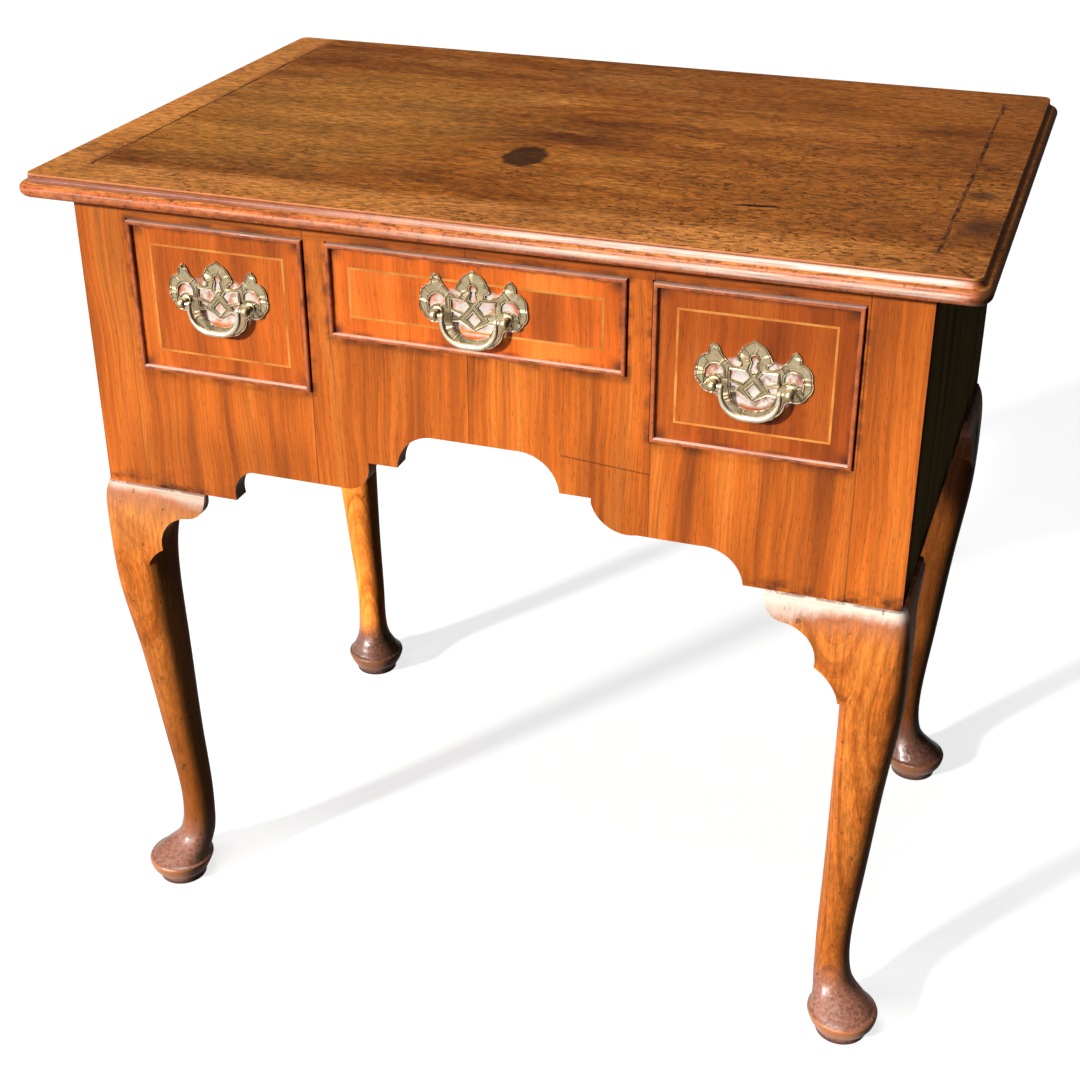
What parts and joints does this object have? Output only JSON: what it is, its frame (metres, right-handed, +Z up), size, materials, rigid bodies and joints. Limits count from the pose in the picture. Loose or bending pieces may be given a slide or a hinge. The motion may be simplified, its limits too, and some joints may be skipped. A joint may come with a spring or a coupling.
{
  "type": "lowboy",
  "caption": "Walnut dressing table with a row of drawers over a shaped apron, on cabriole legs with pad feet and pierced brass bail handles.",
  "frame": {"origin": "on the floor, below the middle of the top board", "axes": "+Z up, +X to the right seen from the front, the front faces -Y"},
  "size_m": [0.762, 0.5154, 0.712],
  "materials": {
    "walnut_top": "waxed, satin",
    "walnut_veneer": "waxed, satin",
    "walnut_solid": "waxed, satin",
    "oak": "bare",
    "pine": "bare",
    "stringing": "waxed, satin",
    "brass": "old polish"
  },
  "bodies": {
    "carcass": {"top_board": "walnut_top", "top_stringing": "stringing", "front_veneer": "walnut_veneer", "apron_board": "oak", "top_rail": "oak", "drawer_divider_left": "oak", "drawer_divider_right": "oak", "side_board_left": "pine", "side_board_right": "pine", "side_veneer_left": "walnut_veneer", "side_veneer_right": "walnut_veneer", "back_board": "pine", "drawer_runners": "oak", "drawer_kickers": "oak", "glue_blocks": "pine", "drawer_stops": "oak", "leg_front_left": "walnut_solid", "leg_front_right": "walnut_solid", "leg_back_left": "walnut_solid", "leg_back_right": "walnut_solid", "ear_front_left": "walnut_solid", "ear_front_right": "walnut_solid", "ear_side_front_left": "walnut_solid", "ear_side_front_right": "walnut_solid", "ear_side_back_left": "walnut_solid", "ear_side_back_right": "walnut_solid"},
    "drawer_left": {"drawer_left_front": "walnut_veneer", "drawer_left_stringing": "stringing", "drawer_left_bead": "walnut_solid", "drawer_left_side_left": "oak", "drawer_left_side_right": "oak", "drawer_left_bottom": "oak", "drawer_left_back": "oak", "drawer_left_backplate": "brass", "drawer_left_posts": "brass", "drawer_left_nuts": "brass"},
    "bail_left": {"drawer_left_bail": "brass"},
    "drawer_centre": {"drawer_centre_front": "walnut_veneer", "drawer_centre_stringing": "stringing", "drawer_centre_bead": "walnut_solid", "drawer_centre_side_left": "oak", "drawer_centre_side_right": "oak", "drawer_centre_bottom": "oak", "drawer_centre_back": "oak", "drawer_centre_backplate": "brass", "drawer_centre_posts": "brass", "drawer_centre_nuts": "brass"},
    "bail_centre": {"drawer_centre_bail": "brass"},
    "drawer_right": {"drawer_right_front": "walnut_veneer", "drawer_right_stringing": "stringing", "drawer_right_bead": "walnut_solid", "drawer_right_side_left": "oak", "drawer_right_side_right": "oak", "drawer_right_bottom": "oak", "drawer_right_back": "oak", "drawer_right_backplate": "brass", "drawer_right_posts": "brass", "drawer_right_nuts": "brass"},
    "bail_right": {"drawer_right_bail": "brass"}
  },
  "joints": [
    {"name": "drawer_left_slide", "type": "slide", "parent": "carcass", "child": "drawer_left", "axis": [0, -1, 0], "range_m": [0, 0.3]},
    {"name": "bail_left_hinge", "type": "hinge", "parent": "drawer_left", "child": "bail_left", "pos_m": [-0.2184, -0.24265, 0.6156], "axis": [-1, 0, 0], "range_deg": [-15, 195]},
    {"name": "drawer_centre_slide", "type": "slide", "parent": "carcass", "child": "drawer_centre", "axis": [0, -1, 0], "range_m": [0, 0.3]},
    {"name": "bail_centre_hinge", "type": "hinge", "parent": "drawer_centre", "child": "bail_centre", "pos_m": [0, -0.24265, 0.6336], "axis": [-1, 0, 0], "range_deg": [-15, 195]},
    {"name": "drawer_right_slide", "type": "slide", "parent": "carcass", "child": "drawer_right", "axis": [0, -1, 0], "range_m": [0, 0.3]},
    {"name": "bail_right_hinge", "type": "hinge", "parent": "drawer_right", "child": "bail_right", "pos_m": [0.2184, -0.24265, 0.6065], "axis": [-1, 0, 0], "range_deg": [-15, 195]}
  ]
}
